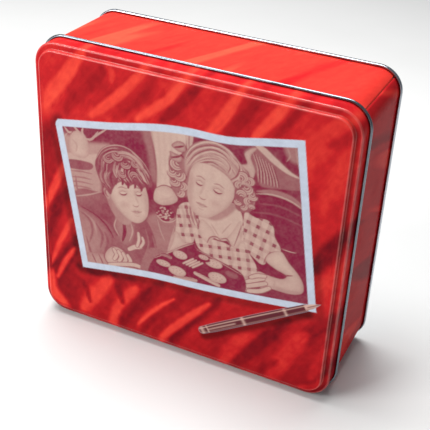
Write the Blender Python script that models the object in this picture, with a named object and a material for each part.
"""Rectangular biscuit tin with a slip lid, in drawn and folded tinplate.

The tin stands on its lower long side with the lid facing -Y. Every piece is one sheet of metal, modelled as
the sheet's mid-surface and given its thickness by a Solidify modifier.

Two kinds of measure place a sheet. A profile is a list of (out, depth) points in millimetres: out is how far
the point lies outside the body's outer surface, and depth is how far it lies behind the front of the lid. A
station is one place on the body's rounded outline: a corner's centre, and the direction out from it.
"""

import math

import bmesh
import bpy
from mathutils import Vector

MM = 0.001

# Driving dimensions, in millimetres and degrees.
WIDTH = 255.6
HEIGHT = 240.0
DEPTH = 91.8
SHEET = 0.3
GAP = 0.3
CORNER_RADIUS = 17.3
CORNER_STEPS = 6
CURL_STEPS = 10
FOLD_STEPS = 6
BEND_STEPS = 3

# Lid.
SLIP_CLEARANCE = 0.52
LID_CURL_RADIUS = 1.08
LID_CURL_DEPTH = 16.8
LID_CURL_OPENING = 110.0
LID_STEP_HEIGHT = 3.5
LID_SHOULDER_WIDTH = 5.1
LID_SHOULDER_BEND = 1.1
LID_STEP_BEND = 0.7

# Body walls.
MOUTH_CURL_RADIUS = 0.95
MOUTH_CURL_OPENING = 80.0
NECK_INSET = 0.4
NECK_START = 84.8
NECK_END = 86.4
LAP_START = 9.0
LAP_END = 84.0
LAP_DEGREES = 15.0
JOGGLE_START_DEGREES = 4.0
JOGGLE_END_DEGREES = 1.0
SEAM_DEGREES = 45.0

# Double seam that holds the base on.
SEAM_OUT = 1.8
SEAM_HEIGHT = 3.2
SEAM_BEND = 0.8
HOOK_LENGTH = 0.85

# Base panel.
COUNTERSINK = 4.2
BASE_STEP_INSET = 12.0
BASE_STEP_WIDTH = 1.2
BASE_STEP_HEIGHT = 0.8

# Mid-surfaces of the sheets, worked out from the dimensions above.
HALF_SHEET = SHEET / 2
LAYER = SHEET + GAP
LID_SKIRT = SLIP_CLEARANCE + HALF_SHEET
LID_REACH = LID_SKIRT + 2 * LID_CURL_RADIUS + HALF_SHEET
WALL = -HALF_SHEET
NECK = WALL - NECK_INSET
SEAM_WALL = SEAM_OUT - HALF_SHEET
SEAM_PITCH = (SEAM_WALL - NECK) / 3
COVER_HOOK = NECK + SEAM_PITCH
BODY_HOOK = NECK + 2 * SEAM_PITCH
CHUCK_WALL = NECK - LAYER
CORNER_X = WIDTH / 2 - LID_REACH - CORNER_RADIUS
CORNER_Z = HEIGHT / 2 - LID_REACH - CORNER_RADIUS


def clear_scene():
    for obj in list(bpy.data.objects):
        bpy.data.objects.remove(obj, do_unlink=True)


def material(name, colour, roughness, metallic):
    made = bpy.data.materials.new(name)
    made.use_nodes = True
    shader = made.node_tree.nodes["Principled BSDF"]
    shader.inputs["Base Color"].default_value = (*colour, 1.0)
    shader.inputs["Roughness"].default_value = roughness
    shader.inputs["Metallic"].default_value = metallic
    return made


def arc(out, depth, radius, start, end, steps):
    """Points round (out, depth), from one angle to another in degrees: 0 points out and 90 points back."""
    angles = [math.radians(start + (end - start) * step / steps) for step in range(steps + 1)]
    return [(out + radius * math.cos(a), depth + radius * math.sin(a)) for a in angles]


def station(degrees, corner=None):
    """A place on the outline. Degrees run from +X towards +Z, and corner 0 is the top right one."""
    quarter = int(degrees // 90) % 4 if corner is None else corner
    side_x = 1 if quarter in (0, 3) else -1
    side_z = 1 if quarter in (0, 1) else -1
    angle = math.radians(degrees)
    return side_x * CORNER_X, side_z * CORNER_Z, math.cos(angle), math.sin(angle)


def corner_stations(corner, start=0.0, end=90.0):
    """Stations round one corner, at the regular steps between two angles and at both of those angles."""
    regular = [90.0 * step / CORNER_STEPS for step in range(CORNER_STEPS + 1)]
    angles = [start] + [angle for angle in regular if start < angle < end] + [end]
    return [station(90.0 * corner + angle, corner) for angle in angles]


def place(where, out, depth):
    corner_x, corner_z, direction_x, direction_z = where
    reach = CORNER_RADIUS + out
    return Vector((corner_x + reach * direction_x, depth, corner_z + reach * direction_z)) * MM


def sweep(bm, profile, stations):
    """Sweeps the profile through the stations, and returns one row of vertices for each."""
    rows = [[bm.verts.new(place(where, out, depth)) for out, depth in profile] for where in stations]
    for row, following in zip(rows, rows[1:]):
        join_rows(bm, row, following)
    return rows


def join_rows(bm, row, following):
    for index in range(len(row) - 1):
        bm.faces.new((row[index], row[index + 1], following[index + 1], following[index]))


def sheet_object(name, bm, metal, turn=0.0):
    """Makes the object, with its origin on the tin's own axis, along which the lid slides."""
    bmesh.ops.recalc_face_normals(bm, faces=bm.faces)
    mesh = bpy.data.meshes.new(name)
    bm.to_mesh(mesh)
    bm.free()
    mesh.shade_smooth()
    mesh.materials.append(metal)
    obj = bpy.data.objects.new(name, mesh)
    obj.location = Vector((0.0, -DEPTH / 2, HEIGHT / 2)) * MM
    obj.rotation_euler.y = turn
    bpy.context.scene.collection.objects.link(obj)
    thickness = obj.modifiers.new("sheet_thickness", "SOLIDIFY")
    thickness.thickness = SHEET * MM
    thickness.offset = 0.0
    thickness.use_even_offset = True
    return obj


def closed_pressing(name, profile, metal):
    """A pressing that runs all the way round and closes in a flat panel at the profile's last point."""
    bm = bmesh.new()
    stations = [where for corner in range(4) for where in corner_stations(corner)]
    rows = sweep(bm, profile, stations)
    join_rows(bm, rows[-1], rows[0])
    bm.faces.new([row[-1] for row in rows])
    return sheet_object(name, bm, metal)


def lid_profile():
    """From the free end of the outward curl, along the skirt and over the shoulder, to the raised panel."""
    shoulder = LID_STEP_HEIGHT + HALF_SHEET
    step_wall = LID_SKIRT - LID_SHOULDER_WIDTH
    curl_middle = LID_SKIRT + LID_CURL_RADIUS
    curl = arc(curl_middle, LID_CURL_DEPTH, LID_CURL_RADIUS, -LID_CURL_OPENING, 180, CURL_STEPS)
    skirt_bend = LID_SHOULDER_BEND
    outer_bend = arc(LID_SKIRT - skirt_bend, shoulder + skirt_bend, skirt_bend, 0, -90, BEND_STEPS)
    step_foot = arc(step_wall + LID_STEP_BEND, shoulder - LID_STEP_BEND, LID_STEP_BEND, 90, 180, BEND_STEPS)
    top_middle = HALF_SHEET + LID_STEP_BEND
    step_top = arc(step_wall - LID_STEP_BEND, top_middle, LID_STEP_BEND, 0, -90, BEND_STEPS)
    return curl + outer_bend + step_foot + step_top


def base_profile():
    """From the free end of the cover hook, round the double seam and down the countersink, to the panel."""
    top = DEPTH - HALF_SHEET
    front = DEPTH - SEAM_HEIGHT + HALF_SHEET + SEAM_PITCH
    panel = DEPTH - COUNTERSINK
    hook = [(COVER_HOOK, front + HOOK_LENGTH)]
    fold = arc(BODY_HOOK, front, SEAM_PITCH, 180, 360, FOLD_STEPS)
    outer_bend = arc(SEAM_WALL - SEAM_BEND, top - SEAM_BEND, SEAM_BEND, 0, 90, BEND_STEPS)
    inner_bend = arc(CHUCK_WALL + SEAM_BEND, top - SEAM_BEND, SEAM_BEND, 90, 180, BEND_STEPS)
    foot = arc(CHUCK_WALL - SEAM_BEND, panel + SEAM_BEND, SEAM_BEND, 0, -90, BEND_STEPS)
    step = [
        (-BASE_STEP_INSET, panel),
        (-BASE_STEP_INSET - BASE_STEP_WIDTH, panel - BASE_STEP_HEIGHT),
    ]
    return hook + fold + outer_bend + inner_bend + foot + step


def wall_profile():
    """From the free end of the mouth's inward curl, along the wall, to the hook that the base is rolled round."""
    mouth = LID_STEP_HEIGHT + SHEET + GAP + HALF_SHEET + MOUTH_CURL_RADIUS
    flange = DEPTH - HALF_SHEET - LAYER - SEAM_PITCH
    curl = arc(WALL - MOUTH_CURL_RADIUS, mouth, MOUTH_CURL_RADIUS, MOUTH_CURL_OPENING, 360, CURL_STEPS)
    straight = [(WALL, LAP_START), (WALL, LAP_END), (WALL, NECK_START), (NECK, NECK_END)]
    fold = arc(COVER_HOOK, flange, SEAM_PITCH, 180, 0, FOLD_STEPS)
    hook = [(BODY_HOOK, flange - HOOK_LENGTH)]
    return curl + straight + fold + hook


def add_lap(bm, first_row, profile):
    """Carries the wall on past its notched ends, stepped inward, so that it lies under the other blank."""
    start = profile.index((WALL, LAP_START))
    row = first_row[start : start + 2]
    under = WALL - LAYER
    for degrees in (SEAM_DEGREES + JOGGLE_END_DEGREES, SEAM_DEGREES, SEAM_DEGREES - LAP_DEGREES):
        where = station(degrees, 0)
        following = [bm.verts.new(place(where, under, depth)) for depth in (LAP_START, LAP_END)]
        join_rows(bm, row, following)
        row = following


def body_wall(name, metal, turn):
    """One of two equal L-shaped blanks, each from the seam at one corner to the seam at the opposite one."""
    bm = bmesh.new()
    profile = wall_profile()
    stations = corner_stations(0, SEAM_DEGREES + JOGGLE_START_DEGREES)
    stations += corner_stations(1)
    stations += corner_stations(2, end=SEAM_DEGREES)
    rows = sweep(bm, profile, stations)
    add_lap(bm, rows[0], profile)
    return sheet_object(name, bm, metal, turn)


def main():
    clear_scene()
    printed = material("red_printed_tinplate", (0.52, 0.025, 0.03), 0.28, 0.0)
    bare = material("bare_tinplate", (0.72, 0.74, 0.76), 0.25, 1.0)
    closed_pressing("lid_shell", lid_profile(), printed)
    body_wall("body_wall_upper", printed, 0.0)
    body_wall("body_wall_lower", printed, math.pi)
    closed_pressing("base_panel", base_profile(), bare)


main()
